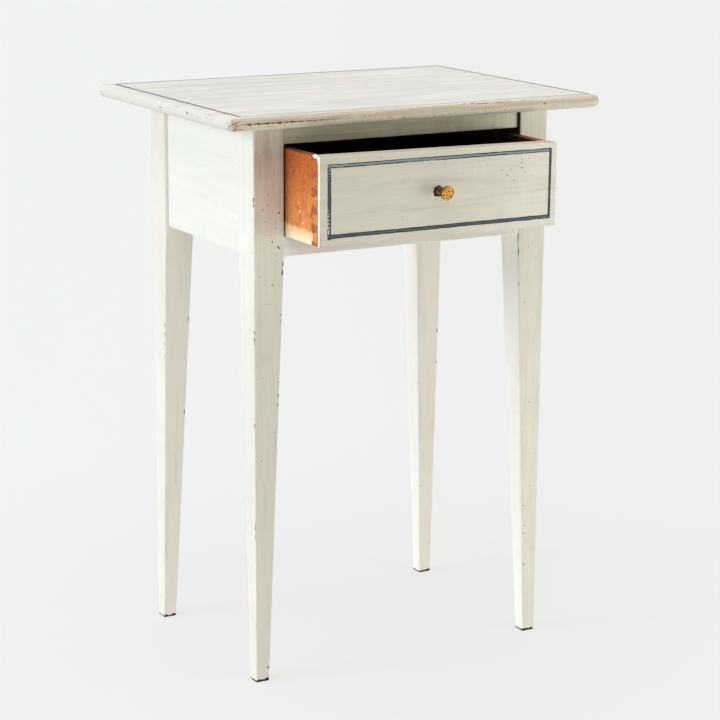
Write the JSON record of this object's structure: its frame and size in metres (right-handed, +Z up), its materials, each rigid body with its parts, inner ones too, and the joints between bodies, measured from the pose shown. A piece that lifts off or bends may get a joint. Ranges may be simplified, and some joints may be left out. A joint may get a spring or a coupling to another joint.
{
  "type": "side table with drawer",
  "caption": "Small painted wooden side table on square tapered legs, with a dovetailed drawer that slides out from under a round-edged top and a turned brass knob.",
  "frame": {"origin": "on the floor under the middle of the whole object, with the drawer standing 91 mm open at rest", "axes": "+Z up, the drawer opens towards -Y, +X to the right of someone facing the drawer"},
  "size_m": [0.5414, 0.4704, 0.75],
  "materials": {
    "cream_paint": "old off-white oil paint on pine, brushed, worn through at the edges",
    "bare_pine": "old unfinished pine",
    "stained_pine": "orange-brown stain on pine, dull",
    "brass": "polished by handling, darkened in the hollows",
    "aged_brass": "tarnished dark brown",
    "iron": "dark forged iron"
  },
  "bodies": {
    "table": {"tabletop": "cream_paint", "leg_front_left": "cream_paint", "leg_front_right": "cream_paint", "leg_back_left": "cream_paint", "leg_back_right": "cream_paint", "side_apron_left": "cream_paint", "side_apron_right": "cream_paint", "back_apron": "cream_paint", "upper_front_rail": "cream_paint", "lower_front_rail": "cream_paint", "tenon_pegs": "bare_pine", "drawer_runner_left": "bare_pine", "drawer_runner_right": "bare_pine", "drawer_guide_left": "bare_pine", "drawer_guide_right": "bare_pine", "kicker_left": "bare_pine", "kicker_right": "bare_pine", "drawer_stops": "bare_pine", "top_glue_blocks": "bare_pine", "top_screws": "iron", "frame_nails": "iron"},
    "drawer": {"drawer_front": "cream_paint", "drawer_side_left": "stained_pine", "drawer_side_right": "stained_pine", "drawer_back": "stained_pine", "drawer_bottom": "stained_pine", "drawer_bottom_nails": "iron", "knob_head": "brass", "knob_rosette": "aged_brass", "knob_bolt": "iron", "knob_nut": "iron"}
  },
  "joints": [
    {"name": "drawer_slide", "type": "slide", "parent": "table", "child": "drawer", "axis": [0, -1, 0], "range_m": [-0.091, 0.13]}
  ]
}
